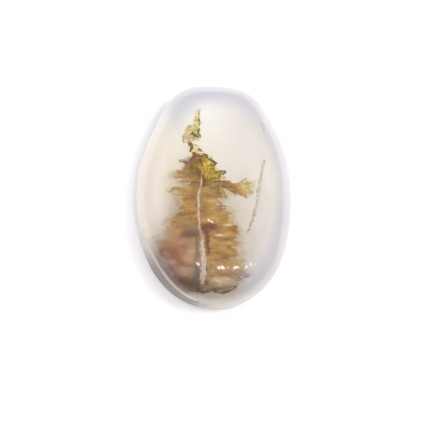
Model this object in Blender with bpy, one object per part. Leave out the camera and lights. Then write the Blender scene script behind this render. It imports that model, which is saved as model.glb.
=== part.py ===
"""A dendritic agate cabochon: one polished oval stone with a flat back, a low side wall and a broad dome.

The long axis lies along Y and the dome faces +Z. The stone rests on its flat back, at Z = 0.
"""

import math

import bmesh
import bpy

MM = 0.001

# The stone's overall size, in millimetres
LENGTH = 25.0
WIDTH = 17.5
HEIGHT = 6.0

# Heights of the edges between the back, the side wall and the dome, in millimetres
BACK_BEVEL_HEIGHT = 0.45
WALL_TOP_HEIGHT = 2.3

# How far each edge lies in from the widest outline, in millimetres
BACK_INSET = 0.55
WALL_TOP_INSET = 0.2
WALL_EDGE_ROUNDING = 0.12

# One corner of the wall is ground back further than the rest: its direction from the middle and its spread in
# degrees, anticlockwise from +X, and its greatest depth in millimetres
CORNER_DIRECTION = 235.0
CORNER_SPREAD = 22.0
CORNER_DEPTH = 0.45

# The dome's section is a superellipse: the first exponent flattens its top, the second steepens its shoulder
TOP_FLATNESS = 2.7
SHOULDER_FULLNESS = 1.55

# The widest outline seen from above, in millimetres, anticlockwise from the middle of the right side.
# Its upper end is ground off nearly straight between two soft corners, and its lower end is round.
OUTLINE = [
    (8.7, 0.0),
    (8.5, 3.0),
    (7.7, 6.0),
    (6.6, 8.4),
    (5.2, 10.6),
    (3.5, 12.1),
    (0.2, 12.5),
    (-3.1, 12.2),
    (-5.1, 10.7),
    (-6.4, 8.3),
    (-7.6, 5.6),
    (-8.5, 2.8),
    (-8.8, 0.0),
    (-8.6, -3.0),
    (-7.8, -6.0),
    (-6.4, -8.9),
    (-4.0, -11.3),
    (-0.4, -12.5),
    (3.4, -11.8),
    (6.3, -9.5),
    (7.8, -6.6),
    (8.5, -3.4),
]

# How finely the stone is faceted
SEGMENTS = 96
POINTS_PER_SPAN = 24
SMOOTHING_PASSES = 4
DOME_RINGS = 18

AGATE_COLOUR = (0.86, 0.82, 0.75, 1.0)
AGATE_ROUGHNESS = 0.08


def smooth_closed_curve(points, steps):
    """A closed Catmull-Rom curve through the points."""
    curve = []
    count = len(points)
    for i in range(count):
        p0, p1, p2, p3 = (points[(i + k) % count] for k in (-1, 0, 1, 2))
        for s in range(steps):
            t = s / steps
            curve.append(tuple(
                0.5 * (2 * b + (c - a) * t + (2 * a - 5 * b + 4 * c - d) * t**2 + (3 * b - a - 3 * c + d) * t**3)
                for a, b, c, d in zip(p0, p1, p2, p3)
            ))
    return curve


def evenly_spaced(curve, count):
    """Points at equal steps along a closed curve."""
    lengths = [0.0]
    for i, point in enumerate(curve):
        lengths.append(lengths[-1] + math.dist(point, curve[(i + 1) % len(curve)]))
    spaced = []
    at = 0
    for k in range(count):
        wanted = lengths[-1] * k / count
        while lengths[at + 1] < wanted:
            at += 1
        share = (wanted - lengths[at]) / (lengths[at + 1] - lengths[at])
        start, end = curve[at], curve[(at + 1) % len(curve)]
        spaced.append(tuple(a + (b - a) * share for a, b in zip(start, end)))
    return spaced


def relaxed(points, passes):
    """The closed outline with small wobbles smoothed away."""
    for _ in range(passes):
        points = [
            tuple((a + 2 * b + c) / 4 for a, b, c in zip(points[i - 1], points[i], points[(i + 1) % len(points)]))
            for i in range(len(points))
        ]
    return points


def fitted(points, width, length):
    """The outline scaled to the wanted width and length and centred on the origin."""
    low = [min(p[k] for p in points) for k in (0, 1)]
    high = [max(p[k] for p in points) for k in (0, 1)]
    scale = (width / (high[0] - low[0]), length / (high[1] - low[1]))
    centre = [(a + b) / 2 for a, b in zip(low, high)]
    return [((x - centre[0]) * scale[0], (y - centre[1]) * scale[1]) for x, y in points]


def stone_outline():
    curve = smooth_closed_curve(OUTLINE, POINTS_PER_SPAN)
    return fitted(relaxed(evenly_spaced(curve, SEGMENTS), SMOOTHING_PASSES), WIDTH, LENGTH)


def dome_height(share):
    """The dome's height at a share of the way from its middle to the top of the wall."""
    rise = HEIGHT - WALL_TOP_HEIGHT
    return WALL_TOP_HEIGHT + rise * max(0.0, 1 - share**TOP_FLATNESS) ** (1 / SHOULDER_FULLNESS)


def section():
    """The stone's section from its back to near its top: size (1 is the widest outline), height, and how much of the
    ground corner's depth the ring takes."""
    half_width = WIDTH / 2
    back = 1 - BACK_INSET / half_width
    wall_top = 1 - WALL_TOP_INSET / half_width
    rounding = WALL_EDGE_ROUNDING / half_width
    rings = [
        (back, 0.0, 0.0),
        (1 - rounding, BACK_BEVEL_HEIGHT - WALL_EDGE_ROUNDING, 0.0),
        (1.0, BACK_BEVEL_HEIGHT + WALL_EDGE_ROUNDING, 0.0),
        (wall_top + rounding / 2, WALL_TOP_HEIGHT - WALL_EDGE_ROUNDING, 0.9),
    ]
    for k in range(DOME_RINGS):
        share = math.cos(k / DOME_RINGS * math.pi / 2)
        rings.append((wall_top * share, dome_height(share), share**4))
    return rings


def ring_points(outline, size, height, corner):
    """One level outline of the stone, drawn in where the corner of the wall is ground back."""
    points = []
    for x, y in outline:
        away = (math.degrees(math.atan2(y, x)) - CORNER_DIRECTION) % 360
        away = min(away, 360 - away)
        depth = corner * CORNER_DEPTH * math.exp(-((away / CORNER_SPREAD) ** 2))
        reach = size * (1 - depth / math.hypot(x, y))
        points.append((x * reach, y * reach, height))
    return points


def build_stone():
    outline = stone_outline()
    mesh = bmesh.new()
    rings = [
        [mesh.verts.new([value * MM for value in point]) for point in ring_points(outline, *ring)]
        for ring in section()
    ]
    mesh.faces.new(reversed(rings[0]))
    for lower, upper in zip(rings, rings[1:]):
        for i in range(SEGMENTS):
            j = (i + 1) % SEGMENTS
            mesh.faces.new((lower[i], lower[j], upper[j], upper[i]))
    top = mesh.verts.new((0.0, 0.0, HEIGHT * MM))
    for i in range(SEGMENTS):
        mesh.faces.new((rings[-1][i], rings[-1][(i + 1) % SEGMENTS], top))
    data = bpy.data.meshes.new("agate_stone")
    mesh.to_mesh(data)
    mesh.free()
    data.shade_smooth()
    data.set_sharp_from_angle(angle=math.radians(35))
    return data


def agate_material():
    material = bpy.data.materials.new("agate")
    material.use_nodes = True
    surface = material.node_tree.nodes["Principled BSDF"]
    surface.inputs["Base Color"].default_value = AGATE_COLOUR
    surface.inputs["Roughness"].default_value = AGATE_ROUGHNESS
    surface.inputs["Metallic"].default_value = 0.0
    return material


def main():
    for old in list(bpy.data.objects):
        bpy.data.objects.remove(old)
    stone = bpy.data.objects.new("agate_stone", build_stone())
    stone.data.materials.append(agate_material())
    bpy.context.scene.collection.objects.link(stone)


main()
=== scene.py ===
"""The looks of a dendritic agate: a polished milky cabochon round a tree of iron and manganese oxides."""

import math
import random

import bmesh
import bpy
import numpy as np
from mathutils import Matrix, Vector, noise
from mathutils.bvhtree import BVHTree


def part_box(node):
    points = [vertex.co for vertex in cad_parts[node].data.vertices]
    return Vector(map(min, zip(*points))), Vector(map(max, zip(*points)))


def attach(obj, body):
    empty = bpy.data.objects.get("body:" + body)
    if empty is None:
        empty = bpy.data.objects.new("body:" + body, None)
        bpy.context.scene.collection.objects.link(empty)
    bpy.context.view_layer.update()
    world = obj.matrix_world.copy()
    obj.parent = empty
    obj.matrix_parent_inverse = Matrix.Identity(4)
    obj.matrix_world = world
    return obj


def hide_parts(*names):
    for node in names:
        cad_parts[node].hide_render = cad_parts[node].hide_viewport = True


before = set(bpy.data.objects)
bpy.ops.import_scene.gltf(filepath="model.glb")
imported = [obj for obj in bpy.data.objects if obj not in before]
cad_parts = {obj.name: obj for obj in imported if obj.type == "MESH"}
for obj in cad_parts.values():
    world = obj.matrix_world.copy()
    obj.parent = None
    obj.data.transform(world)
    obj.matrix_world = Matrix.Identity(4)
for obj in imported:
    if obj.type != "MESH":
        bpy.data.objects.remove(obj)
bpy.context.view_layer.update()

MM = 0.001
BODY = "root"
STONE_NODE = "agate_stone"
SEED = 7

# Where the middle of the stone's back lies in the photograph, in pixels, and the scale there
IMAGE_SIDE = 430
STONE_PIXEL = (212.0, 197.5)
PIXELS_PER_MM = 8.94

# The camera leans from straight above towards the stone's lower left, in degrees, this far off in mm
CAMERA_TILT = 13.0
CAMERA_SIDE = 40.0
CAMERA_DISTANCE = 120.0
SENSOR = 36.0

# The nearest and farthest that the camera sees, in metres
CLIPPING = (0.005, 10.0)

REFRACTIVE_INDEX = 1.54


def add_object(name, data):
    made = bpy.data.objects.new(name, data)
    bpy.context.scene.collection.objects.link(made)
    return made


# The stone's shape, the same as its solid's but finer

BACK_BEVEL_HEIGHT = 0.45
WALL_TOP_HEIGHT = 2.3
BACK_INSET = 0.55
WALL_TOP_INSET = 0.2
WALL_EDGE_ROUNDING = 0.12
CORNER_DIRECTION = 235.0
CORNER_SPREAD = 22.0
CORNER_DEPTH = 0.45
CORNER_AT_WALL_TOP = 0.9
CORNER_FADE = 4
TOP_FLATNESS = 2.7
SHOULDER_FULLNESS = 1.55
OUTLINE = [
    (8.7, 0.0), (8.5, 3.0), (7.7, 6.0), (6.6, 8.4), (5.2, 10.6), (3.5, 12.1),
    (0.2, 12.5), (-3.1, 12.2), (-5.1, 10.7), (-6.4, 8.3), (-7.6, 5.6), (-8.5, 2.8),
    (-8.8, 0.0), (-8.6, -3.0), (-7.8, -6.0), (-6.4, -8.9), (-4.0, -11.3), (-0.4, -12.5),
    (3.4, -11.8), (6.3, -9.5), (7.8, -6.6), (8.5, -3.4),
]
CURVE_STEPS = 24
FINE_CURVE_STEPS = 8
COARSE_SEGMENTS = 96
SMOOTHING_PASSES = 4
SEGMENTS = 240
DOME_RINGS = 64
SHARP_ANGLE = 35.0

stone_low, stone_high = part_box(STONE_NODE)
WIDTH, LENGTH, HEIGHT = ((b - a) / MM for a, b in zip(stone_low, stone_high))


def smooth_closed_curve(points, steps):
    """A closed Catmull-Rom curve through the points."""
    p = np.array(points, float)
    a, b, c, d = (np.roll(p, k, 0)[:, None, :] for k in (1, 0, -1, -2))
    t = (np.arange(steps) / steps)[None, :, None]
    square = 2 * a - 5 * b + 4 * c - d
    cube = 3 * b - a - 3 * c + d
    curve = 0.5 * (2 * b + (c - a) * t + square * t**2 + cube * t**3)
    return curve.reshape(-1, 2)


def evenly_spaced(curve, count):
    """Points at equal steps along a closed curve."""
    closed = np.vstack([curve, curve[:1]])
    lengths = np.concatenate([[0.0], np.cumsum(np.linalg.norm(np.diff(closed, axis=0), axis=1))])
    wanted = np.linspace(0, lengths[-1], count, endpoint=False)
    return np.stack([np.interp(wanted, lengths, closed[:, k]) for k in (0, 1)], 1)


def stone_outline():
    """The stone's largest outline, smoothed and fitted to its solid's width and length."""
    points = evenly_spaced(smooth_closed_curve(OUTLINE, CURVE_STEPS), COARSE_SEGMENTS)
    for _ in range(SMOOTHING_PASSES):
        points = (np.roll(points, 1, 0) + 2 * points + np.roll(points, -1, 0)) / 4
    low, high = points.min(0), points.max(0)
    points = (points - (low + high) / 2) * np.array([WIDTH, LENGTH]) / (high - low)
    return evenly_spaced(smooth_closed_curve(points, FINE_CURVE_STEPS), SEGMENTS)


def dome_height(share):
    """The dome's height where it is this share of its full size."""
    rise = HEIGHT - WALL_TOP_HEIGHT
    return WALL_TOP_HEIGHT + rise * max(0.0, 1 - share**TOP_FLATNESS) ** (1 / SHOULDER_FULLNESS)


def section():
    """Size, height and share of the ground corner's depth for each ring, from the back up."""
    half_width = WIDTH / 2
    back = 1 - BACK_INSET / half_width
    wall_top = 1 - WALL_TOP_INSET / half_width
    rounding = WALL_EDGE_ROUNDING / half_width
    rings = [
        (back, 0.0, 0.0),
        (1 - rounding, BACK_BEVEL_HEIGHT - WALL_EDGE_ROUNDING, 0.0),
        (1.0, BACK_BEVEL_HEIGHT + WALL_EDGE_ROUNDING, 0.0),
        (wall_top + rounding / 2, WALL_TOP_HEIGHT - WALL_EDGE_ROUNDING, CORNER_AT_WALL_TOP),
    ]
    for k in range(DOME_RINGS):
        share = math.cos(k / DOME_RINGS * math.pi / 2)
        rings.append((wall_top * share, dome_height(share), share**CORNER_FADE))
    return rings


def ring_points(outline, size, height, corner):
    """One level ring of points, drawn in where the corner is ground back."""
    away = (np.degrees(np.arctan2(outline[:, 1], outline[:, 0])) - CORNER_DIRECTION) % 360
    away = np.minimum(away, 360 - away)
    depth = corner * CORNER_DEPTH * np.exp(-((away / CORNER_SPREAD) ** 2))
    reach = size * (1 - depth / np.linalg.norm(outline, axis=1))
    return np.column_stack([outline * reach[:, None], np.full(len(outline), height)])


def stone_surface():
    """The stone's points in mm, its faces, and how near the rim each point is."""
    outline = stone_outline()
    rings = section()
    points = np.vstack([ring_points(outline, *ring) for ring in rings] + [[[0.0, 0.0, HEIGHT]]])
    rim = np.repeat([size for size, height, corner in rings], SEGMENTS).tolist() + [0.0]
    faces = [tuple(reversed(range(SEGMENTS)))]
    for ring in range(len(rings) - 1):
        for i in range(SEGMENTS):
            j = (i + 1) % SEGMENTS
            low, high = ring * SEGMENTS, (ring + 1) * SEGMENTS
            faces.append((low + i, low + j, high + j, high + i))
    last = (len(rings) - 1) * SEGMENTS
    top = len(points) - 1
    faces += [(last + i, last + (i + 1) % SEGMENTS, top) for i in range(SEGMENTS)]
    return points, faces, rim


STONE_POINTS, STONE_FACES, STONE_RIM = stone_surface()
STONE_TREE = BVHTree.FromPolygons(STONE_POINTS.tolist(), STONE_FACES)


def build_stone():
    """The whole stone: polished on top and at the side, ground on the back."""
    data = bpy.data.meshes.new("polished_stone")
    data.from_pydata((STONE_POINTS * MM).tolist(), [], STONE_FACES)
    attribute = data.attributes.new("rim", "FLOAT", "POINT")
    attribute.data.foreach_set("value", STONE_RIM)
    data.shade_smooth()
    data.set_sharp_from_angle(angle=math.radians(SHARP_ANGLE))
    stone = add_object("polished_stone", data)
    data.materials.append(polished_material())
    data.materials.append(ground_back_material())
    data.polygons[0].material_index = 1
    return stone


# Materials

def linear(red, green, blue):
    """A colour as the eye reads it, 0 to 255, in the renderer's own values."""
    shares = [value / 255 for value in (red, green, blue)]
    return tuple(((s + 0.055) / 1.055) ** 2.4 if s > 0.04 else s / 12.92 for s in shares)


class Nodes:
    """Adds nodes to one material and links them."""

    def __init__(self, name):
        self.material = bpy.data.materials.new(name)
        self.material.use_nodes = True
        self.tree = self.material.node_tree
        self.tree.nodes.clear()
        self.output = self.tree.nodes.new("ShaderNodeOutputMaterial")

    def add(self, kind, **inputs):
        node = self.tree.nodes.new(kind)
        for name, value in inputs.items():
            self.put(node.inputs[name.replace("_", " ")], value)
        return node

    def put(self, socket, value):
        if isinstance(value, bpy.types.NodeSocket):
            self.tree.links.new(value, socket)
        else:
            socket.default_value = value

    def attribute(self, name):
        node = self.add("ShaderNodeAttribute")
        node.attribute_name = name
        return node.outputs["Fac"]

    def place(self):
        return self.add("ShaderNodeTexCoord").outputs["Object"]

    def millimetres(self, axis):
        """Where a point lies along one of the part's axes."""
        metres = self.add("ShaderNodeSeparateXYZ", Vector=self.place()).outputs[axis]
        return self.math("MULTIPLY", metres, 1 / MM)

    def math(self, operation, first, second):
        node = self.tree.nodes.new("ShaderNodeMath")
        node.operation = operation
        self.put(node.inputs[0], first)
        self.put(node.inputs[1], second)
        return node.outputs[0]

    def product(self, first, *others):
        for other in others:
            first = self.math("MULTIPLY", first, other)
        return first

    def highest(self, first, *others):
        for other in others:
            first = self.math("MAXIMUM", first, other)
        return first

    def noise(self, size, detail=2.0, stretch=(1, 1, 1)):
        """Cloudy values from 0 to 1, with features of about this size in mm."""
        mapping = self.add("ShaderNodeMapping", Vector=self.place(), Scale=stretch)
        node = self.add("ShaderNodeTexNoise", Vector=mapping.outputs[0], Scale=1 / (size * MM), Detail=detail)
        return node.outputs["Fac"]

    def ramp(self, value, stops):
        node = self.add("ShaderNodeValToRGB", Fac=value)
        ramp = node.color_ramp
        while len(ramp.elements) < len(stops):
            ramp.elements.new(0.5)
        for element, (position, colour) in zip(ramp.elements, stops):
            element.position = position
            element.color = (*linear(*colour), 1)
        return node.outputs["Color"]

    def fit(self, value, low, high, to_low=0.0, to_high=1.0):
        """A smooth step from one number to another as the value goes from low to high."""
        node = self.add("ShaderNodeMapRange", Value=value)
        for name, number in (("From Min", low), ("From Max", high), ("To Min", to_low), ("To Max", to_high)):
            node.inputs[name].default_value = number
        node.interpolation_type = "SMOOTHSTEP"
        return node.outputs[0]

    def blend(self, share, first, second):
        node = self.tree.nodes.new("ShaderNodeMix")
        node.data_type = "RGBA"
        self.put(node.inputs[0], share)
        for socket, colour in ((6, first), (7, second)):
            self.put(node.inputs[socket], (*linear(*colour), 1) if isinstance(colour, tuple) else colour)
        return node.outputs[2]

    def bump(self, height, strength, distance):
        return self.add("ShaderNodeBump", Height=height, Strength=strength, Distance=distance * MM).outputs[0]

    def finish(self, surface, volume=None):
        self.tree.links.new(surface, self.output.inputs["Surface"])
        if volume:
            self.tree.links.new(volume, self.output.inputs["Volume"])
        return self.material


# Colours as the eye reads them
CLEAR_CREAM = (255, 255, 249)
MILKY_CREAM = (255, 251, 238)
# The ring on the steep shoulder: partly the agate's own lilac and partly painted reflection of its
# surroundings
LILAC_RIM = (218, 221, 235)
RIGHT_RIM = (226, 226, 237)
# Painted glow: the ring's left side made lighter, as if light from the right gathered there
LEFT_PAINTED_GLOW = (249, 244, 237)
BEIGE_RIM = (221, 217, 210)
WARM_RIM = (222, 200, 186)
WALL_PALE = (220, 220, 230)
# Painted shade: the grey of the wall at its lower left end
WALL_PAINTED_SHADE = (124, 110, 106)
# Painted highlight: a cream line along the crown edge at the lower left
EDGE_PAINTED_HIGHLIGHT = (212, 190, 164)
# Painted shade on the back: darker towards the right, so that the left looks lit
BACK_BRIGHT = (255, 255, 248)
BACK_PAINTED_SHADE = (237, 234, 229)

# Where the pale outer ring's colour, partly painted reflection, and its milk begin and are full, as a share
# of the way out to the rim
RING_START = 0.62
RING_FULL = 0.84
VEIL_START = 0.55
VEIL_FULL = 0.85

# The share of the surface that is milky: on the dome, on the wall away from and at its lower end, where it
# shows the painted shade, and on the edge, where it shows the painted highlight
BODY_VEIL = 0.22
WALL_VEIL = (0.35, 0.65)
EDGE_VEIL = 0.6

# Zones of the stone, as steps that are multiplied: an axis, and where along it the step begins and is full
CREAM_ZONE = [("X", -3.0, -6.5)]
RIGHT_ZONE = [("X", 3.0, 7.0)]
BOTTOM_ZONE = [("Y", -7.0, -11.0), ("X", 4.5, 1.0)]
# Where the ring's painted glow lies
LEFT_GLOW_ZONE = [("X", -4.0, -6.0), ("Y", -8.0, -5.0), ("Y", 10.0, 7.0)]
WARM_ZONE = [("X", -2.0, -4.5), ("Y", -6.5, -8.5)]
LOWER_ZONE = [("Y", -4.0, -9.0)]
# Where the wall's painted shade lies
SHADED_LOWER_END_ZONE = [("Y", -4.0, -9.0), ("X", 1.0, -2.5)]
WALL_ZONE = [("Z", WALL_TOP_HEIGHT, WALL_TOP_HEIGHT - 0.25)]
# Where the crown edge's painted highlight lies
EDGE_HIGHLIGHT_ZONE = [
    ("Z", WALL_TOP_HEIGHT - 0.2, WALL_TOP_HEIGHT - 0.1), ("Z", WALL_TOP_HEIGHT + 0.4, WALL_TOP_HEIGHT + 0.15),
    ("Y", -3.0, -9.0), ("X", 0.5, -3.0),
]

# The cloudier agate over the lower left of the plume, in mm. It starts at its top. From the first level down
# to the second, its reach grows, as a share of the way out to the rim. On its right side it fades in from the
# first place to the second
CLOUDY_LEVELS = (-4.2, -5.6)
CLOUDY_REACH = (0.57, 1.05)
CLOUDY_TOP = -3.7
CLOUDY_RIGHT = (-1.9, -2.3)
CLOUD_SIZE = 2.0

COAT_ROUGHNESS = 0.02
BODY_ROUGHNESS = 0.22
CLOUDY_ROUGHNESS = 0.33
BACK_ROUGHNESS = 0.6

STONE_ABSORPTION = (0.90, 0.75, 0.50, 1)
STONE_ABSORPTION_PER_M = 6.0


def zone(n, axes, steps):
    """How far a point lies inside a zone of the stone, from 0 to 1."""
    return n.product(*[n.fit(axes[axis], begin, full) for axis, begin, full in steps])


def cloudy_area(n, axes, rim):
    """1 over the lower left of the plume and 0 elsewhere, with a wavy outline."""
    wave = n.noise(CLOUD_SIZE)

    def wandering(value, reach):
        return n.math("ADD", value, n.fit(wave, 0.3, 0.7, -reach, reach))

    inside = n.math("SUBTRACT", n.fit(axes["Y"], *CLOUDY_LEVELS, *CLOUDY_REACH), wandering(rim, 0.04))
    below = n.math("SUBTRACT", CLOUDY_TOP, wandering(axes["Y"], 0.3))
    left = n.fit(wandering(axes["X"], 0.2), *CLOUDY_RIGHT)
    return n.product(n.fit(inside, -0.03, 0.03), n.fit(below, -0.4, 0.4), left)


def stone_tint(n, axes, rim, wall, edge, shaded_lower_end):
    """Cream in the middle, a lilac ring of partly painted reflection that turns warmer below and at the left,
    where it is a painted glow, a pale to grey wall whose grey is painted shade, and a painted highlight on
    the crown edge.
    """
    ring = n.blend(zone(n, axes, RIGHT_ZONE), LILAC_RIM, RIGHT_RIM)
    for steps, colour in ((BOTTOM_ZONE, BEIGE_RIM), (LEFT_GLOW_ZONE, LEFT_PAINTED_GLOW), (WARM_ZONE, WARM_RIM)):
        ring = n.blend(zone(n, axes, steps), ring, colour)
    clear = n.blend(zone(n, axes, CREAM_ZONE), CLEAR_CREAM, MILKY_CREAM)
    dome = n.blend(n.fit(rim, RING_START, RING_FULL), clear, ring)
    side = n.blend(shaded_lower_end, n.blend(zone(n, axes, LOWER_ZONE), WALL_PALE, BEIGE_RIM), WALL_PAINTED_SHADE)
    return n.blend(edge, n.blend(wall, dome, side), EDGE_PAINTED_HIGHLIGHT)


def stone_veil(n, axes, rim, wall, edge, shaded_lower_end):
    """How milky the surface is, instead of clear: the ring, the left, the bottom, the wall and its edge. The
    milk on the wall and the edge carries their painted shade and painted highlight.
    """
    milky_side = n.highest(n.fit(axes["X"], 0.0, 4.5), n.fit(axes["Y"], -7.0, -3.0))
    ring = n.product(n.fit(rim, VEIL_START, VEIL_FULL, 0.0, BODY_VEIL), milky_side)
    left = n.product(n.fit(axes["X"], -4.8, -7.5, 0.0, BODY_VEIL), n.fit(axes["Y"], -5.0, 0.0, 0.1, 1.0))
    bottom = n.fit(axes["Y"], -10.8, -11.5, 0.0, BODY_VEIL)
    side = n.product(wall, n.fit(shaded_lower_end, 0.0, 1.0, *WALL_VEIL))
    return n.highest(ring, left, bottom, side, n.product(edge, EDGE_VEIL))


def stone_absorption(n):
    volume = n.add("ShaderNodeVolumeAbsorption", Color=STONE_ABSORPTION, Density=STONE_ABSORPTION_PER_M)
    return volume.outputs[0]


def polished_material():
    """Refracting agate under a clear polish, a little rougher where it is cloudy."""
    n = Nodes("milky_agate")
    rim = n.attribute("rim")
    axes = {axis: n.millimetres(axis) for axis in "XYZ"}
    # The wall, the crown edge with its painted highlight, and the wall's lower end with its painted shade
    wall, edge, shaded_lower_end = (zone(n, axes, steps) for steps in (WALL_ZONE, EDGE_HIGHLIGHT_ZONE, SHADED_LOWER_END_ZONE))
    roughness = n.fit(cloudy_area(n, axes, rim), 0.0, 1.0, BODY_ROUGHNESS, CLOUDY_ROUGHNESS)
    tint = stone_tint(n, axes, rim, wall, edge, shaded_lower_end)
    clearness = n.math("SUBTRACT", 1.0, stone_veil(n, axes, rim, wall, edge, shaded_lower_end))
    surface = n.add("ShaderNodeBsdfPrincipled", Roughness=roughness, IOR=REFRACTIVE_INDEX, Base_Color=tint,
                    Coat_Weight=1.0, Coat_Roughness=COAT_ROUGHNESS, Transmission_Weight=clearness)
    return n.finish(surface.outputs[0], stone_absorption(n))


def ground_back_material():
    """The flat back, ground but not polished, with painted shade that darkens it in clouds towards the right.
    """
    n = Nodes("ground_back")
    cloud = n.noise(6.0)
    shade = n.product(n.fit(n.millimetres("X"), -2.0, 5.0), n.fit(cloud, 0.3, 0.6, 0.6, 1.0))
    surface = n.add("ShaderNodeBsdfPrincipled", Roughness=BACK_ROUGHNESS, IOR=REFRACTIVE_INDEX,
                    Transmission_Weight=0.05, Base_Color=n.blend(shade, BACK_BRIGHT, BACK_PAINTED_SHADE))
    return n.finish(surface.outputs[0], stone_absorption(n))


def absorbing_material(name, absorbed_per_mm, own_colour, own_share):
    """See-through matter that takes out so much red, green and blue per mm, and has a little own colour."""
    n = Nodes(name)
    strongest = max(absorbed_per_mm)
    colour = [1 - a / strongest for a in absorbed_per_mm]
    clear = n.add("ShaderNodeBsdfTransparent")
    own = n.add("ShaderNodeBsdfDiffuse", Color=(*linear(*own_colour), 1))
    mix = n.add("ShaderNodeMixShader", Fac=own_share)
    n.put(mix.inputs[1], clear.outputs[0])
    n.put(mix.inputs[2], own.outputs[0])
    volume = n.add("ShaderNodeVolumeAbsorption", Color=(*colour, 1), Density=strongest / MM)
    return n.finish(mix.outputs[0], volume.outputs[0])


# The plume's brushed streaks: their size in mm, their detail, and how far they are drawn out along each axis
STREAK_SIZE = 0.5
STREAK_DETAIL = 3.5
STREAK_STRETCH = (0.45, 1.0, 0.5)
PLUME_ROUGHNESS = 0.8


def plume_material(name, own_stops, tones):
    """Solid brushed matter: its own colours, and each tone's where the attribute of its name is high."""
    n = Nodes(name)
    streak = n.noise(STREAK_SIZE, STREAK_DETAIL, STREAK_STRETCH)
    colour = n.ramp(streak, own_stops)
    for tone, stops in tones:
        colour = n.blend(n.attribute(tone), colour, n.ramp(streak, stops))
    surface = n.add("ShaderNodeBsdfPrincipled", Roughness=PLUME_ROUGHNESS, Base_Color=colour)
    return n.finish(surface.outputs[0])


MINERAL_ROUGHNESS = 0.6
MINERAL_RELIEF = 0.06


def mineral_material(name, stops, size, strength):
    """Solid grainy matter whose colour wanders between the stops, with grains of this size in mm."""
    n = Nodes(name)
    grain = n.noise(size, 3.0)
    surface = n.add("ShaderNodeBsdfPrincipled", Roughness=MINERAL_ROUGHNESS, Base_Color=n.ramp(grain, stops),
                    Normal=n.bump(grain, strength, MINERAL_RELIEF))
    return n.finish(surface.outputs[0])


# Camera, and the way it sees into the stone

def camera_axes():
    """The camera's backward, right and up directions."""
    tilt, side = math.radians(CAMERA_TILT), math.radians(CAMERA_SIDE)
    back = Vector((-math.sin(side) * math.sin(tilt), -math.cos(side) * math.sin(tilt), math.cos(tilt)))
    right = Vector((0, 1, 0)).cross(back).normalized()
    return back, right, back.cross(right)


BACKWARD, RIGHTWARD, UPWARD = camera_axes()
FRAME_MIDDLE = [(IMAGE_SIDE / 2 - p) / PIXELS_PER_MM for p in STONE_PIXEL]
CAMERA_PLACE = BACKWARD * CAMERA_DISTANCE + RIGHTWARD * FRAME_MIDDLE[0] - UPWARD * FRAME_MIDDLE[1]


def build_camera():
    data = bpy.data.cameras.new("camera")
    data.sensor_width = SENSOR
    data.lens = SENSOR * PIXELS_PER_MM * CAMERA_DISTANCE / IMAGE_SIDE
    data.clip_start, data.clip_end = CLIPPING
    camera = add_object("camera", data)
    turn = Matrix((RIGHTWARD, UPWARD, BACKWARD)).transposed().to_4x4()
    camera.matrix_world = Matrix.Translation(CAMERA_PLACE * MM) @ turn
    bpy.context.scene.camera = camera


def entry(u, v):
    """Where the sight line through u, v enters the stone, its direction, and the surface's normal there.

    A line that would just miss the stone is drawn in towards its middle.
    """
    for shrink in (1.0, 0.97, 0.94, 0.9, 0.85):
        aim = RIGHTWARD * (u * shrink - FRAME_MIDDLE[0]) + UPWARD * (v * shrink + FRAME_MIDDLE[1])
        aim = (aim - BACKWARD * CAMERA_DISTANCE).normalized()
        hit, normal, face, away = STONE_TREE.ray_cast(CAMERA_PLACE, aim)
        if hit is not None:
            return hit, aim, normal
    raise ValueError(f"the sight line through {u}, {v} misses the stone")


# No growth comes nearer than this to the back, in mm
LOWEST = 0.3


def seen(u, v, depth):
    """The point that shows u mm right and v mm up of the middle, so many mm below the polished surface."""
    hit, aim, normal = entry(u, v)
    ratio = 1 / REFRACTIVE_INDEX
    facing = -aim.dot(normal)
    bent = aim * ratio + normal * (ratio * facing - math.sqrt(1 - ratio**2 * (1 - facing**2)))
    depth = min(depth, hit.z - LOWEST)
    return hit + bent * (depth / -bent.z)


# Growths, built from lumps in the photograph's plane, u mm right and v mm up, and then carried into the stone

def ball():
    mesh = bmesh.new()
    bmesh.ops.create_icosphere(mesh, subdivisions=2, radius=1.0)
    points = np.array([v.co for v in mesh.verts])
    faces = np.array([[v.index for v in f.verts] for f in mesh.faces])
    mesh.free()
    return points, faces


BALL_POINTS, BALL_FACES = ball()


# The brush strokes that fray a tone's patches, in mm, and how far they move a patch's sides and ends
FRAY_LENGTH = 0.7
FRAY_WIDTH = 0.22
FRAY_ACROSS = 0.5
FRAY_ALONG = 0.8


def tone_weights(places, patches):
    """How strongly each place lies in the patches, from 0 to 1, with brushed edges."""
    brushed = [(u / FRAY_LENGTH, v / FRAY_WIDTH, 0.0) for u, v in places.tolist()]
    shift = np.array([noise.noise(Vector(q)) for q in brushed])
    weights = np.zeros(len(places))
    for u, v, along_half, across_half in patches:
        across = (places[:, 1] - v + FRAY_ACROSS * shift * min(across_half, 0.3)) / across_half
        reach = (places[:, 0] - u + FRAY_ALONG * shift * min(along_half, 0.6)) / along_half
        weights += np.exp(-(across**2) - reach**2)
    return np.clip(1.3 * weights - 0.15, 0, 1)


def lump_mesh(name, lumps):
    """All the lumps as separate closed balls in one mesh."""
    table = np.array(lumps, float)
    cos, sin = np.cos(table[:, 6:7]), np.sin(table[:, 6:7])
    p = BALL_POINTS[None] * table[:, None, 3:6]
    u = p[..., 0] * cos - p[..., 1] * sin + table[:, 0:1]
    v = p[..., 0] * sin + p[..., 1] * cos + table[:, 1:2]
    w = p[..., 2] - table[:, 2:3]
    points = np.stack([u, v, w], 2).reshape(-1, 3)
    faces = (BALL_FACES[None] + (np.arange(len(table)) * len(BALL_POINTS))[:, None, None]).reshape(-1, 3)
    data = bpy.data.meshes.new(name)
    data.from_pydata(points.tolist(), [], faces.tolist())
    return data


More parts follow.
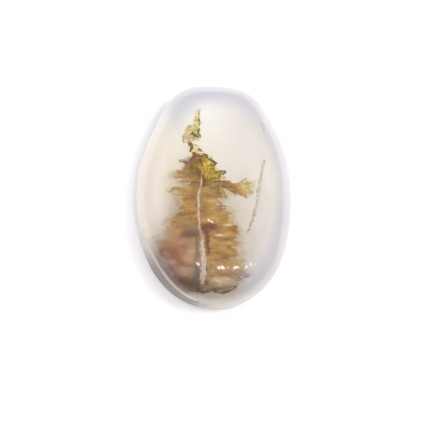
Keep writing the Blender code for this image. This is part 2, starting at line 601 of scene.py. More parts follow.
def merge_lumps(piece, voxel, passes):
    """Turns the piece's separate balls into one closed surface round them all."""
    remesh = piece.modifiers.new("join", "REMESH")
    remesh.mode = "VOXEL"
    remesh.voxel_size = voxel
    soften = piece.modifiers.new("soften", "SMOOTH")
    soften.iterations = passes
    soften.factor = 0.5
    done = bpy.data.meshes.new_from_object(piece.evaluated_get(bpy.context.evaluated_depsgraph_get()))
    piece.modifiers.clear()
    piece.data = done


def point_values(data, name):
    """One vector for each point of a mesh, such as its place or its normal."""
    values = np.empty(len(data.vertices) * 3)
    data.vertices.foreach_get(name, values)
    return values.reshape(-1, 3)


def joined(name, lumps, voxel, grain, roughen=0.0, streaks=0.0, passes=2, tones=()):
    """One closed surface round all the lumps, in its place inside the stone.

    Each lump is its middle u, v, depth, its half sizes along, across and deep, and its turn.
    The surface is roughened along its normals, and streaks make it thicker and thinner from place to place.
    Each tone is a name and its patches, and becomes an attribute.
    """
    piece = add_object(name, lump_mesh(name, lumps))
    merge_lumps(piece, voxel, passes)
    data = piece.data
    places, normals = point_values(data, "co"), point_values(data, "normal")
    wave = np.array([noise.noise(Vector(q)) for q in (places / np.array(grain)).tolist()])
    places += normals * (wave * roughen)[:, None]
    places[:, 2] += normals[:, 2] * wave * streaks
    for tone, patches in tones:
        attribute = data.attributes.new(tone, "FLOAT", "POINT")
        attribute.data.foreach_set("value", tone_weights(places[:, :2], patches))
    carried = [seen(u, v, -w) * MM for u, v, w in places.tolist()]
    data.vertices.foreach_set("co", np.array(carried).ravel())
    data.update()
    data.shade_smooth()
    data.name = name
    return piece


def along(points, step):
    """Places at equal steps along a run of points, each with the numbers that go with the points."""
    table = np.array(points, float)
    run = np.concatenate([[0.0], np.cumsum(np.linalg.norm(np.diff(table[:, :2], axis=0), axis=1))])
    wanted = np.linspace(0, run[-1], max(2, int(run[-1] / step) + 1))
    return np.stack([np.interp(wanted, run, table[:, k]) for k in range(table.shape[1])], 1)


def bead_chain(rng, points, depth, loose=0.25, gaps=0.0, flatness=1.0):
    """Lumps along a run of u, v, half width, so much flatter than round, with a share of them left out."""
    lumps = []
    for u, v, half in along(points, 0.55 * min(p[2] for p in points)):
        if rng.random() < gaps:
            continue
        size = half * rng.uniform(0.7, 1.15)
        place = (u + rng.gauss(0, loose * half), v + rng.gauss(0, loose * half), depth + rng.gauss(0, 0.04))
        halves = (size * rng.uniform(0.8, 1.2), size * rng.uniform(0.8, 1.2), size * flatness)
        lumps.append((*place, *halves, rng.uniform(0, 3)))
    return lumps


# The plume: the broad soft body of the tree

# The trunk's line down the tree, as u, v
TRUNK = [
    (-1.2, 4.0), (-1.2, 2.4), (-1.3, 1.0), (-1.5, 0.0), (-1.5, -2.0), (-1.3, -4.0), (-1.1, -6.0),
    (-1.0, -8.0), (-1.1, -10.3),
]

# Side branches of the plume: v at the trunk, tip u, tip v and half width
LEFT_BRANCHES = [
    (3.7, -2.8, 3.3, 0.25), (3.1, -3.9, 2.75, 0.2), (2.6, -4.1, 2.25, 0.16), (2.1, -3.1, 1.8, 0.2),
    (1.5, -2.8, 1.2, 0.22), (1.0, -4.3, 0.8, 0.24), (0.5, -4.0, 0.4, 0.2), (0.0, -3.4, -0.3, 0.3),
    (-0.6, -3.2, -0.9, 0.35), (-1.1, -3.3, -1.5, 0.35), (-1.7, -4.2, -2.2, 0.35), (-2.3, -4.7, -2.8, 0.4),
    (-2.9, -4.9, -3.4, 0.4), (-3.5, -4.6, -4.0, 0.45), (-4.1, -5.0, -4.6, 0.45), (-4.8, -5.7, -5.4, 0.5),
    (-5.5, -5.7, -6.1, 0.5), (-6.2, -5.6, -6.8, 0.5), (-6.9, -5.6, -7.5, 0.5), (-7.6, -5.3, -8.2, 0.5),
    (-8.3, -5.0, -8.8, 0.45), (-9.0, -4.6, -9.4, 0.4), (-9.7, -4.1, -10.0, 0.35),
]
RIGHT_BRANCHES = [
    (2.2, 0.9, 1.6, 0.35), (1.5, 1.2, 1.0, 0.35), (0.9, 1.3, 0.3, 0.35), (0.2, 0.7, -0.2, 0.35),
    (-0.4, 0.4, -0.7, 0.3), (-1.0, 1.7, -1.3, 0.3), (-1.5, 2.0, -1.9, 0.35), (-2.1, 2.0, -2.5, 0.35),
    (-2.7, 2.2, -3.0, 0.3), (-3.2, 2.7, -3.5, 0.35), (-3.9, 2.7, -4.2, 0.35), (-4.5, 2.8, -4.8, 0.35),
    (-5.1, 3.0, -5.5, 0.35), (-5.7, 2.9, -6.1, 0.35), (-6.3, 2.9, -6.7, 0.35), (-6.9, 3.1, -7.3, 0.35),
    (-7.5, 3.7, -7.9, 0.35), (-8.1, 3.9, -8.4, 0.35), (-8.8, 3.3, -9.1, 0.35), (-9.4, 2.5, -9.7, 0.35),
    (-9.9, 2.0, -10.1, 0.3),
]

# Branches that don't start at the trunk: root u, v, tip u, v and half width
LOOSE_BRANCHES = [
    (-1.9, 3.8, -2.8, 3.3, 0.3), (-0.7, 3.4, 0.3, 2.6, 0.4), (-0.8, 2.6, 0.5, 2.1, 0.35),
    (-1.8, 3.4, -2.6, 2.6, 0.3), (-1.3, 3.9, -1.3, 2.6, 0.3), (-2.0, -9.6, -4.9, -9.2, 0.35),
    (-2.2, -8.6, -5.6, -7.6, 0.5),
]
ARM_BRANCHES = [
    (2.5, 1.25, 4.0, 1.8, 0.16), (2.6, 1.2, 4.15, 1.5, 0.18), (2.6, 1.1, 4.15, 1.15, 0.18),
    (2.6, 0.9, 4.05, 0.8, 0.16), (2.6, 0.8, 3.9, 0.45, 0.16), (2.6, 0.7, 3.6, 0.2, 0.14),
    (1.9, 1.0, 2.8, 0.55, 0.14), (0.5, 1.65, 3.0, 1.2, 0.24), (1.0, 1.4, 3.1, 0.85, 0.26),
    (-2.1, 4.45, -3.2, 4.0, 0.2), (1.0, 0.9, 1.5, 0.2, 0.18),
]

# The plume's inner mass on both sides of the trunk: runs of u, v and half width
INNER_MASS = [
    [(-2.0, 3.3, 0.3), (-2.0, 1.6, 0.4), (-2.1, 0.0, 0.55), (-2.5, -2.0, 0.9), (-3.0, -4.0, 1.3),
     (-3.5, -6.0, 1.7), (-3.6, -8.0, 1.5), (-3.2, -9.3, 1.0)],
    [(-0.6, 3.0, 0.5), (-0.4, 1.4, 0.8), (-0.5, 0.0, 0.6), (0.2, -1.6, 0.8), (0.5, -3.0, 1.1),
     (0.9, -5.0, 1.3), (1.1, -7.0, 1.4), (1.3, -8.4, 1.3), (0.6, -9.5, 1.0)],
]

# The plume's tones: name, patches as u, v, half sizes along and across, and colours of dark to light streaks
TONES = [
    ("olive", [
        (3.8, 1.45, 0.7, 0.5), (3.9, 0.75, 0.6, 0.6), (-3.9, 0.4, 0.8, 0.4), (0.2, 1.1, 0.7, 0.6),
        (-0.3, 2.5, 0.8, 0.5), (-3.4, 1.7, 0.7, 0.4), (2.4, -2.6, 0.5, 0.2), (-2.6, 0.9, 0.6, 0.2),
        (0.3, -0.3, 0.6, 0.3),
    ], [(0.35, (178, 156, 76)), (0.65, (230, 212, 134))]),
    ("beige", [
        (1.3, -9.4, 1.5, 0.5), (0.9, -4.2, 0.5, 0.12), (1.9, -3.05, 0.5, 0.12), (3.2, -5.9, 0.4, 0.9),
        (-3.9, 1.65, 0.6, 0.18), (-4.0, 0.75, 0.4, 0.2), (-3.8, -0.4, 0.45, 0.8), (-5.0, -2.9, 0.4, 0.6),
        (-4.1, 2.7, 0.3, 0.3),
    ], [(0.35, (234, 204, 162)), (0.65, (254, 242, 216))]),
    ("tan", [
        (-2.5, -6.8, 0.6, 1.0), (-2.4, -5.6, 0.5, 0.5), (-3.4, 2.1, 0.9, 0.7), (-3.2, 1.1, 0.8, 0.4),
    ], [(0.35, (186, 146, 96)), (0.65, (226, 192, 144))]),
    ("brown", [
        (1.5, 1.45, 0.5, 0.25), (2.0, 1.2, 0.7, 0.35), (2.8, 0.9, 0.5, 0.3), (3.2, 0.5, 0.4, 0.12),
        (-0.9, -1.4, 0.5, 0.22), (1.2, -1.35, 0.9, 0.16), (1.6, -4.75, 0.9, 0.12),
        (2.5, -3.6, 0.35, 0.5), (0.7, -6.15, 0.7, 0.11), (2.5, -5.6, 0.9, 0.09), (1.8, -6.9, 1.1, 0.16),
        (-0.85, 1.9, 0.2, 0.7), (-2.5, 0.0, 0.8, 0.35), (-3.3, 2.7, 0.7, 0.1),
        (-3.8, -2.6, 0.7, 0.25), (-4.0, -3.4, 0.8, 0.18), (-2.3, -1.6, 0.6, 0.3), (-2.2, 3.4, 0.25, 0.5),
        (1.3, -2.5, 0.7, 0.12), (-2.9, -4.3, 0.9, 0.5), (-2.4, 1.5, 0.4, 0.25),
    ], [(0.35, (138, 88, 30)), (0.65, (196, 140, 62))]),
    ("red", [
        (0.0, -3.4, 0.9, 0.45), (-0.7, -3.3, 0.5, 0.5), (-0.55, -4.6, 0.25, 0.7), (-0.4, -5.6, 0.2, 0.7),
        (-2.7, -4.1, 0.9, 0.4), (2.0, -8.4, 1.0, 0.25),
    ], [(0.35, (100, 49, 18)), (0.65, (154, 91, 48))]),
    ("russet", [
        (-4.6, -5.5, 1.2, 0.8), (-3.8, -6.3, 1.0, 0.6), (-3.2, -5.0, 0.8, 0.5), (1.5, -8.35, 1.4, 0.2),
        (3.0, -8.35, 1.1, 0.2),
    ], [(0.35, (178, 120, 86)), (0.65, (214, 162, 124))]),
    ("mauve", [
        (-5.6, -6.6, 0.5, 0.6), (-5.2, -7.2, 0.6, 0.5), (-4.3, -8.1, 1.3, 0.5), (-2.9, -8.4, 0.8, 0.5),
        (-5.6, -7.8, 0.5, 0.4), (-4.7, -8.6, 0.9, 0.5), (3.8, -8.7, 0.7, 0.25), (-2.8, 4.2, 0.6, 0.25),
        (-4.6, -7.3, 0.8, 0.5),
    ], [(0.35, (206, 170, 164)), (0.65, (242, 220, 212))]),
    ("umber", [
        (-0.65, -9.7, 0.2, 0.5), (-3.4, -9.4, 1.4, 0.4), (-4.4, -9.3, 0.8, 0.35), (-2.9, -9.95, 1.2, 0.25),
        (-0.2, -10.25, 1.0, 0.15), (2.2, -9.9, 0.5, 0.1), (-1.85, -2.8, 0.12, 0.6), (-1.75, -0.7, 0.06, 0.5),
        (-1.05, 0.4, 0.06, 0.7), (0.4, -3.8, 0.6, 0.12), (-0.6, -7.8, 0.08, 0.6), (4.0, -8.85, 0.4, 0.1),
    ], [(0.35, (104, 67, 50)), (0.65, (190, 147, 116))]),
    ("sepia", [
        (-2.3, -3.9, 0.9, 0.45), (-1.75, -4.3, 0.2, 0.5), (-1.68, -5.5, 0.1, 1.0), (-1.75, -6.8, 0.1, 0.6),
        (-1.8, -8.6, 0.35, 0.9), (-1.95, -9.6, 0.5, 0.6),
    ], [(0.35, (70, 36, 14)), (0.65, (128, 82, 50))]),
]
GOLD_STREAKS = [(0.3, (170, 128, 56)), (0.5, (194, 155, 78)), (0.7, (214, 180, 106))]
PLUME_DEPTH = 2.1
PLUME_THICKNESS = 0.35
ARM_DEPTH = 1.1
MASS_DEPTH = 2.45
MASS_THICKNESS = 0.22
PLUME_VOXEL = 0.08
PLUME_GRAIN = (0.8, 0.16, 0.4)

# A branch is three fingers that leave it this far apart, in half widths, with lumps at this step in mm
FINGERS = (-0.6, 0.0, 0.6)
FINGER_STEP = 0.22
LUMP_LENGTH = 0.3

# Twigs: how far out on a finger they begin, how often one grows, and its length, half width and lumps
TWIGS_FROM = 0.35
TWIG_SHARE = 0.7
TWIG_LENGTH = (0.2, 0.5)
TWIG_HALF = (0.045, 0.08)
TWIG_LUMP_LENGTH = 0.17
TWIG_LUMPS = (0.4, 0.75, 1.0)

# A faint clear stain round the plume: what it takes out of red, green and blue light per mm, and its colour
HAZE_ABSORBED = (0.22, 0.38, 0.90)
HAZE_COLOUR = (225, 195, 130)
HAZE_REACH = 0.5
HAZE_DEPTH = 2.1
HAZE_THICKNESS = 0.45
HAZE_VOXEL = 0.12

# The mauve shade at the plume's ends: its absorption and colour, and its patches as u, v and half sizes
DUSK_ABSORBED = (0.50, 0.74, 0.72)
DUSK_COLOUR = (140, 112, 108)
DUSK_PATCHES = [
    (-5.7, -6.3, 0.5, 0.6), (-5.8, -7.1, 0.5, 0.5), (-5.6, -8.0, 0.6, 0.4), (-5.0, -8.9, 0.6, 0.4),
    (-4.4, -9.7, 0.6, 0.3), (4.0, -8.7, 0.5, 0.2), (3.2, -9.2, 0.5, 0.3),
]

# The share of each stain that is its own colour instead of clear
OWN_SHARE = 0.05


def trunk_u(v):
    """How far right the trunk lies at the height v."""
    return float(np.interp(-v, [-p[1] for p in TRUNK], [p[0] for p in TRUNK]))


def twig_lumps(rng, u, v, side, heading, level, thick):
    """A short twig that leaves a finger at u, v and thins towards its end."""
    lean = heading + rng.uniform(-0.5, 0.5)
    length = rng.uniform(*TWIG_LENGTH)
    half = rng.uniform(*TWIG_HALF)
    lumps = []
    for k in TWIG_LUMPS:
        place = (u + side * math.cos(lean) * length * k, v + math.sin(lean) * length * k, level)
        lumps.append((*place, TWIG_LUMP_LENGTH, half * (1.3 - 0.6 * k), thick * 0.4 * (1.4 - 0.8 * k), lean))
    return lumps


def finger_lumps(rng, branch, shift, depth, thick, reach):
    """One long flat finger with its twigs, from a branch's root to its tip, so many half widths aside."""
    u0, v0, u1, v1, half = branch
    side = 1 if u1 > u0 else -1
    far_u = u1 + side * (reach + rng.uniform(-0.45, 0.2))
    far_v = v1 + shift * 1.2 * half + rng.gauss(0, 0.06)
    heading = math.atan2(far_v - v0, abs(far_u - u0)) * side
    level = depth + rng.uniform(-0.1, 0.1)
    steps = max(3, int(math.hypot(far_u - u0, far_v - v0) / FINGER_STEP))
    lumps = []
    for i in range(steps + 1):
        s = i / steps
        size = (0.55 * half + 0.4 * reach) * (1.1 - 0.75 * s) * rng.uniform(0.8, 1.2)
        u = u0 + (far_u - u0) * s
        v = v0 + shift * half + (far_v - v0 - shift * half) * s + rng.gauss(0, 0.12 * half)
        place = (u, v, level + rng.gauss(0, 0.05))
        halves = (LUMP_LENGTH * rng.uniform(0.8, 1.3), size, thick * rng.uniform(0.6, 1.1) * (1 - 0.6 * s))
        lumps.append((*place, *halves, heading + rng.gauss(0, 0.12)))
        if s > TWIGS_FROM and rng.random() < TWIG_SHARE:
            lumps += twig_lumps(rng, u, v, side, heading, level, thick)
    return lumps


def branch_lumps(rng, branch, depth, thick, reach=0.0):
    """A feathery side branch, which may reach further than its tip."""
    lumps = []
    for shift in FINGERS:
        lumps += finger_lumps(rng, branch, shift, depth, thick, reach)
    return lumps


def patch_lumps(rng, patches, depth, thick):
    """Clouds of thin flat streaks, close together in the middle of each patch and sparse at its edge."""
    lumps = []
    for u, v, along_half, across_half in patches:
        count = int(60 * along_half * across_half + 8)
        middle = depth + rng.uniform(-0.2, 0.2)
        for _ in range(count):
            size = min(0.1, 0.5 * across_half) * rng.uniform(0.7, 1.2)
            length = min(0.45, 0.7 * along_half) * rng.uniform(0.7, 1.2)
            place = (u + rng.gauss(0, 0.42) * along_half, v + rng.gauss(0, 0.42) * across_half)
            lumps.append((*place, middle + rng.gauss(0, 0.1), max(length, size), size,
                          thick * rng.uniform(0.3, 0.9), rng.gauss(0, 0.12)))
    return lumps


def build_plume():
    """The plume itself, the stain round it and the shade at its ends."""
    rng = random.Random(SEED)
    branches = [(trunk_u(v), v, *rest) for v, *rest in LEFT_BRANCHES + RIGHT_BRANCHES] + LOOSE_BRANCHES
    body, halo = [], []
    for depth, group in ((PLUME_DEPTH, branches), (ARM_DEPTH, ARM_BRANCHES)):
        for branch in group:
            body += branch_lumps(rng, branch, depth, PLUME_THICKNESS)
            halo += branch_lumps(rng, branch, HAZE_DEPTH, HAZE_THICKNESS, HAZE_REACH)
    for run in INNER_MASS:
        body += [(u, v, MASS_DEPTH, half, 0.45, MASS_THICKNESS, 0.0) for u, v, half in along(run, 0.3)]
    dusk = patch_lumps(rng, DUSK_PATCHES, HAZE_DEPTH, HAZE_THICKNESS)
    patches = [(tone, places) for tone, places, stops in TONES]
    colours = [(tone, stops) for tone, places, stops in TONES]
    plume = joined("plume", body, PLUME_VOXEL, PLUME_GRAIN, roughen=0.03, streaks=0.1, passes=3,
                   tones=patches)
    plume.data.materials.append(plume_material("plume_oxide", GOLD_STREAKS, colours))
    haze = joined("plume_haze", halo, HAZE_VOXEL, PLUME_GRAIN, roughen=0.06, streaks=0.3)
    haze.data.materials.append(absorbing_material("haze_oxide", HAZE_ABSORBED, HAZE_COLOUR, OWN_SHARE))
    shade = joined("plume_dusk", dusk, HAZE_VOXEL, PLUME_GRAIN, roughen=0.06, streaks=0.3)
    shade.data.materials.append(absorbing_material("dusk_oxide", DUSK_ABSORBED, DUSK_COLOUR, OWN_SHARE))
    return [plume, haze, shade]


# The crisp moss near the surface: runs of u, v, half width
MOSS_OLIVE = [
    [(-1.65, 9.75, 0.2), (-1.65, 9.0, 0.25), (-1.7, 8.3, 0.3), (-1.75, 7.7, 0.35), (-1.85, 7.1, 0.32)],
    [(-2.3, 7.9, 0.2), (-2.5, 7.3, 0.3), (-2.2, 6.95, 0.25)],
    [(-2.2, 5.3, 0.2), (-1.8, 5.15, 0.22), (-1.4, 5.4, 0.15), (-1.2, 5.15, 0.12)],
]
MOSS_GOLD = [
    [(0.1, 3.75, 0.28), (-0.2, 3.3, 0.35), (0.2, 2.8, 0.3), (0.9, 2.75, 0.2), (1.4, 2.8, 0.13)],
    [(-0.4, 2.35, 0.25), (0.4, 2.3, 0.2), (1.0, 2.4, 0.12)],
    [(-2.0, 5.0, 0.25), (-1.7, 4.6, 0.35), (-1.5, 4.1, 0.4), (-1.4, 3.5, 0.4), (-1.3, 3.0, 0.3)],
    [(-1.3, 4.7, 0.25), (-0.8, 4.35, 0.35), (-0.3, 4.0, 0.38), (0.2, 3.8, 0.28)],
    [(-0.9, 3.7, 0.4), (-0.6, 3.2, 0.4), (-0.6, 2.7, 0.35), (-0.7, 2.2, 0.2)],
]
MOSS_TAN = [
    [(-2.6, 8.0, 0.12), (-2.75, 7.5, 0.22), (-2.95, 7.0, 0.27), (-3.1, 6.5, 0.2), (-3.2, 6.2, 0.1)],
    [(-2.6, 6.85, 0.22), (-1.9, 6.75, 0.16), (-1.4, 6.8, 0.14)],
]
MOSS_DARK = [
    [(-1.3, 9.9, 0.04), (-1.4, 9.5, 0.05), (-1.5, 8.9, 0.08), (-1.4, 8.35, 0.08), (-1.45, 8.0, 0.06)],
    [(-1.4, 7.75, 0.09), (-1.55, 7.45, 0.12), (-1.5, 7.1, 0.08), (-1.3, 6.95, 0.08)],
    [(-2.4, 7.05, 0.09), (-2.15, 7.3, 0.1), (-1.95, 6.95, 0.13), (-1.6, 6.85, 0.1)],
    [(-3.25, 6.9, 0.05), (-3.2, 6.3, 0.06)],
    [(-2.6, 6.1, 0.1), (-2.4, 6.0, 0.2), (-2.2, 5.65, 0.15), (-2.4, 5.35, 0.1), (-2.45, 5.1, 0.06)],
    [(-1.55, 5.45, 0.1), (-1.35, 5.4, 0.08), (-1.15, 5.1, 0.07)],
    [(-0.85, 4.85, 0.09), (-0.55, 4.65, 0.14), (-0.45, 4.4, 0.09)],
    [(-0.1, 4.2, 0.09), (0.15, 4.1, 0.12), (0.35, 3.9, 0.12), (0.55, 3.85, 0.1), (0.4, 3.65, 0.07)],
    [(0.6, 2.85, 0.06), (0.9, 2.95, 0.07), (1.25, 3.0, 0.08), (1.6, 2.9, 0.08), (1.35, 2.65, 0.1),
     (0.95, 2.6, 0.07)],
    [(0.0, 3.3, 0.08), (0.3, 3.0, 0.06)],
    [(-0.1, 2.15, 0.07), (0.4, 2.15, 0.06), (0.9, 2.1, 0.06)],
]
MOSS_BROWN = [
    [(-2.05, 4.95, 0.18), (-1.9, 4.65, 0.24), (-2.1, 4.35, 0.22), (-2.25, 4.05, 0.14)],
    [(-3.3, 4.0, 0.05), (-2.9, 3.87, 0.09), (-2.3, 3.9, 0.1)],
    [(-1.45, 4.65, 0.14), (-1.3, 4.35, 0.2), (-1.35, 4.0, 0.15), (-1.1, 3.65, 0.16), (-0.85, 3.6, 0.08)],
    [(-1.6, 3.95, 0.12), (-1.6, 3.6, 0.13), (-1.7, 3.2, 0.08)],
    [(-1.3, 3.0, 0.07), (-1.4, 2.7, 0.08), (-1.45, 2.3, 0.06)],
    [(-0.9, 2.3, 0.07), (-0.85, 1.8, 0.1), (-0.8, 1.4, 0.07)],
    [(0.3, 1.78, 0.07), (0.8, 1.8, 0.08), (1.3, 1.8, 0.08), (2.0, 1.85, 0.06)],
]
# Pale crumbs on the moss: partly their own pale colour and partly painted highlights
MOSS_PALE_AND_HIGHLIGHT = [
    [(-2.8, 6.2, 0.08), (-2.3, 6.42, 0.1), (-1.8, 6.5, 0.09), (-1.4, 6.4, 0.07)],
    [(-2.05, 5.8, 0.1), (-1.8, 5.85, 0.09), (-1.55, 5.65, 0.09)],
    [(-1.65, 4.95, 0.08), (-1.25, 4.85, 0.08), (-0.9, 5.0, 0.05)],
    [(-0.4, 4.0, 0.15), (-0.15, 3.85, 0.1), (-0.5, 3.75, 0.08)],
    [(-0.15, 4.6, 0.05), (0.1, 4.45, 0.05)],
    [(0.2, 1.98, 0.06), (0.8, 2.0, 0.06), (1.2, 2.15, 0.07), (1.45, 2.3, 0.07), (1.6, 2.2, 0.05)],
    [(-2.3, 5.2, 0.06), (-2.3, 4.95, 0.05)],
    [(-1.2, 3.15, 0.06), (-1.05, 2.95, 0.07), (-1.0, 2.7, 0.06)],
]
# Piece, its runs, its share of their width, its depth and grain size in mm, and the colours of its grains
MOSSES = [
    ("moss_tan", MOSS_TAN, 1.0, 0.9, 0.3, [(0.35, (214, 190, 124)), (0.6, (250, 236, 188))]),
    ("moss_gold", MOSS_GOLD, 1.0, 0.75, 0.25,
     [(0.38, (138, 104, 0)), (0.48, (194, 158, 4)), (0.6, (236, 208, 48))]),
    ("moss_olive", MOSS_OLIVE, 1.0, 0.6, 0.2,
     [(0.34, (150, 124, 20)), (0.44, (226, 206, 100)), (0.56, (250, 240, 176))]),
    ("moss_dark", MOSS_DARK, 0.9, 0.4, 0.22, [(0.35, (82, 60, 0)), (0.6, (168, 138, 20))]),
    ("moss_brown", MOSS_BROWN, 1.0, 0.45, 0.25, [(0.35, (90, 50, 0)), (0.6, (176, 112, 14))]),
    ("moss_pale_highlight", MOSS_PALE_AND_HIGHLIGHT, 1.0, 0.35, 0.25, [(0.35, (226, 190, 88)), (0.6, (246, 226, 146))]),
]
CRISP_VOXEL = 0.045
MOSS_GRAIN = (0.15, 0.15, 0.15)
MOSS_STRENGTH = 0.6


def build_moss():
    rng = random.Random(SEED + 1)
    pieces = []
    for name, runs, width, depth, size, stops in MOSSES:
        lumps = []
        for run in runs:
            lumps += bead_chain(rng, [(u, v, half * width) for u, v, half in run], depth)
        piece = joined(name, lumps, CRISP_VOXEL, MOSS_GRAIN, roughen=0.1, passes=1)
        piece.data.materials.append(mineral_material(name, stops, size, MOSS_STRENGTH))
        pieces.append(piece)
    return pieces


# Veins: runs of u, v, half width
TRUNK_VEIN = [
    (-1.1, 3.0, 0.06), (-1.2, 2.4, 0.08), (-1.2, 1.6, 0.09), (-1.3, 1.0, 0.1), (-1.5, 0.3, 0.15),
    (-1.55, -0.4, 0.16), (-1.5, -1.0, 0.1), (-1.5, -2.0, 0.1), (-1.4, -3.0, 0.1), (-1.35, -3.8, 0.1),
    (-1.05, -4.3, 0.09), (-1.0, -4.8, 0.12), (-1.15, -5.2, 0.2), (-1.05, -6.0, 0.3), (-1.0, -6.8, 0.28),
    (-0.95, -7.6, 0.25), (-1.0, -8.3, 0.25), (-1.1, -9.0, 0.27), (-1.1, -9.6, 0.25),
]
BASE_LINE = [
    (-4.9, -9.5, 0.12), (-4.4, -9.95, 0.18), (-3.8, -10.2, 0.22), (-3.0, -10.35, 0.2), (-2.2, -10.35, 0.17),
    (-1.4, -10.45, 0.16), (-0.9, -10.6, 0.17), (-0.3, -10.5, 0.15), (0.05, -10.38, 0.1), (0.5, -10.55, 0.12),
    (1.1, -10.68, 0.12), (1.7, -10.55, 0.11), (2.2, -10.32, 0.1), (2.6, -10.0, 0.08), (2.9, -9.6, 0.06),
    (3.3, -9.1, 0.06), (3.8, -8.9, 0.08), (4.25, -8.75, 0.06),
]
DARK_STRIP = [
    (-1.75, -4.5, 0.1), (-1.7, -5.6, 0.07), (-1.7, -7.3, 0.08), (-1.65, -8.2, 0.14), (-1.7, -8.9, 0.18),
    (-1.75, -9.7, 0.22), (-1.6, -10.2, 0.14),
]
GREY_VEIN = [
    (5.9, 4.15, 0.12), (5.8, 3.9, 0.15), (5.65, 3.1, 0.14), (5.45, 2.2, 0.17), (5.3, 1.5, 0.22),
    (5.2, 0.8, 0.22), (5.0, -0.6, 0.14), (4.75, -1.8, 0.2), (4.5, -2.6, 0.16), (4.1, -3.6, 0.2),
    (4.0, -3.9, 0.1),
]
UPPER_VEIN = [(5.55, 8.3, 0.04), (5.75, 7.8, 0.06), (5.85, 7.2, 0.05), (5.8, 6.6, 0.05)]
# Vein, its run, its depth in mm, the share of it that is missing and its colours
VEINS = [
    ("trunk_vein", TRUNK_VEIN, 0.42, 0.1,
     [(0.36, (196, 168, 142)), (0.5, (220, 198, 173)), (0.62, (236, 218, 196))]),
    ("base_line", BASE_LINE, 0.3, 0.0, [(0.35, (88, 62, 44)), (0.6, (158, 126, 98))]),
    ("dark_strip", DARK_STRIP, 0.5, 0.2, [(0.35, (64, 39, 26)), (0.6, (98, 67, 48))]),
    ("grey_vein", GREY_VEIN, 0.3, 0.1, [(0.34, (172, 166, 146)), (0.62, (214, 207, 193))]),
    ("upper_vein", UPPER_VEIN, 0.6, 0.4, [(0.4, (160, 162, 146)), (0.55, (206, 204, 190))]),
]
VEIN_FLATNESS = 0.6
VEIN_GRAIN = (0.3, 0.4, 0.2)
VEIN_GRAIN_SIZE = 0.3
VEIN_STRENGTH = 0.25


def build_veins():
    rng = random.Random(SEED + 2)
    pieces = []
    for name, run, depth, gaps, stops in VEINS:
        lumps = bead_chain(rng, run, depth, loose=0.15, gaps=gaps, flatness=VEIN_FLATNESS)
        piece = joined(name, lumps, CRISP_VOXEL, VEIN_GRAIN, roughen=0.07, passes=3)
        piece.data.materials.append(mineral_material(name, stops, VEIN_GRAIN_SIZE, VEIN_STRENGTH))
        pieces.append(piece)
    return pieces


# Floor and light

FLOOR_HALF = 1.5
FLOOR_HEIGHT = -0.02 * MM
FLOOR_WHITE = (0.73, 0.73, 0.73, 1)
FLOOR_ROUGHNESS = 0.9


def build_floor():
    data = bpy.data.meshes.new("floor")
    signs = ((-1, -1), (1, -1), (1, 1), (-1, 1))
    data.from_pydata([(a * FLOOR_HALF, b * FLOOR_HALF, FLOOR_HEIGHT) for a, b in signs], [], [(0, 1, 2, 3)])
    n = Nodes("white_paper")
    surface = n.add("ShaderNodeBsdfPrincipled", Base_Color=FLOOR_WHITE, Roughness=FLOOR_ROUGHNESS)
    data.materials.append(n.finish(surface.outputs[0]))
    add_object("floor", data)


# Softboxes: name, direction, distance and size in mm, watts and colour
SOFTBOXES = [
    ("overhead", (0.0, 0.1, 1.0), 500, 800, 1.7, (0.88, 0.87, 1.0)),
    ("key", (1.0, 0.35, 0.9), 300, 220, 1.0, (1.0, 0.97, 0.9)),
    ("top_fill", (0.1, 1.0, 0.75), 300, 200, 0.38, (0.93, 0.93, 1.0)),
    ("left_fill", (-1.0, 0.3, 0.75), 300, 200, 0.45, (1.0, 0.97, 0.93)),
    ("bottom_fill", (-0.2, -1.0, 1.0), 300, 200, 0.38, (1.0, 0.97, 0.93)),
]
WORLD_COLOUR = (0.88, 0.87, 1.0)
WORLD_STRENGTH = 0.2

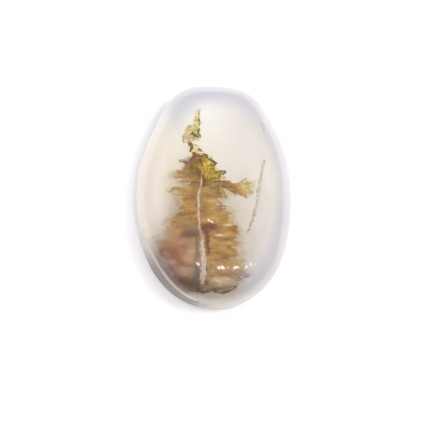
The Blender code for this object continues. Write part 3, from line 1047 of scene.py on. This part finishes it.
# Small lamps that glint in the polish: where each glint shows, as u, v, and the lamp's size in mm
GLINTS = [
    (-0.35, -2.6, 5), (-0.03, -2.68, 5), (-1.65, -7.35, 9), (-1.4, -7.45, 9), (0.85, -7.8, 9),
    (1.1, -7.8, 12), (2.55, -7.85, 10), (2.75, -7.85, 10), (3.85, -7.7, 10), (4.35, -7.55, 7),
    (1.7, -7.87, 4), (4.85, -7.45, 4),
]
GLINT_DISTANCE = 200
GLINT_RADIANCE = 16.0
GLINT_COLOUR = (1.0, 0.97, 0.93)


def build_lamp(name, place, target, size, power, colour, glossy):
    """A round lamp that faces the target. Only a glossy one shows in the polish."""
    data = bpy.data.lights.new(name, "AREA")
    data.shape = "DISK"
    data.size = size * MM
    data.energy = power
    data.color = colour
    lamp = add_object(name, data)
    lamp.location = place * MM
    lamp.rotation_euler = (place - target).to_track_quat("Z", "Y").to_euler()
    lamp.visible_glossy = glossy


def build_light():
    world = bpy.data.worlds.new("world")
    bpy.context.scene.world = world
    world.use_nodes = True
    background = world.node_tree.nodes["Background"]
    background.inputs["Color"].default_value = (*WORLD_COLOUR, 1)
    background.inputs["Strength"].default_value = WORLD_STRENGTH
    for name, towards, distance, size, power, colour in SOFTBOXES:
        place = Vector(towards).normalized() * distance
        build_lamp(name, place, Vector((0, 0, 0)), size, power, colour, False)
    for number, (u, v, size) in enumerate(GLINTS):
        hit, aim, normal = entry(u, v)
        mirrored = aim - normal * (2 * aim.dot(normal))
        place = hit + mirrored * GLINT_DISTANCE
        power = GLINT_RADIANCE * math.pi * math.pi * (size * MM / 2) ** 2
        build_lamp(f"glint_{number}", place, hit, size, power, GLINT_COLOUR, True)


build_camera()
stone = build_stone()
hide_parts(STONE_NODE)
growths = build_plume() + build_moss() + build_veins()
for piece in [stone] + growths:
    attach(piece, BODY)
build_floor()
build_light()

# Plain colours, and enough bounces for light to pass through the stone and what grows in it
scene = bpy.context.scene
scene.view_settings.view_transform = "Standard"
scene.cycles.max_bounces = 24
scene.cycles.diffuse_bounces = 8
scene.cycles.transmission_bounces = 16
scene.cycles.transparent_max_bounces = 64
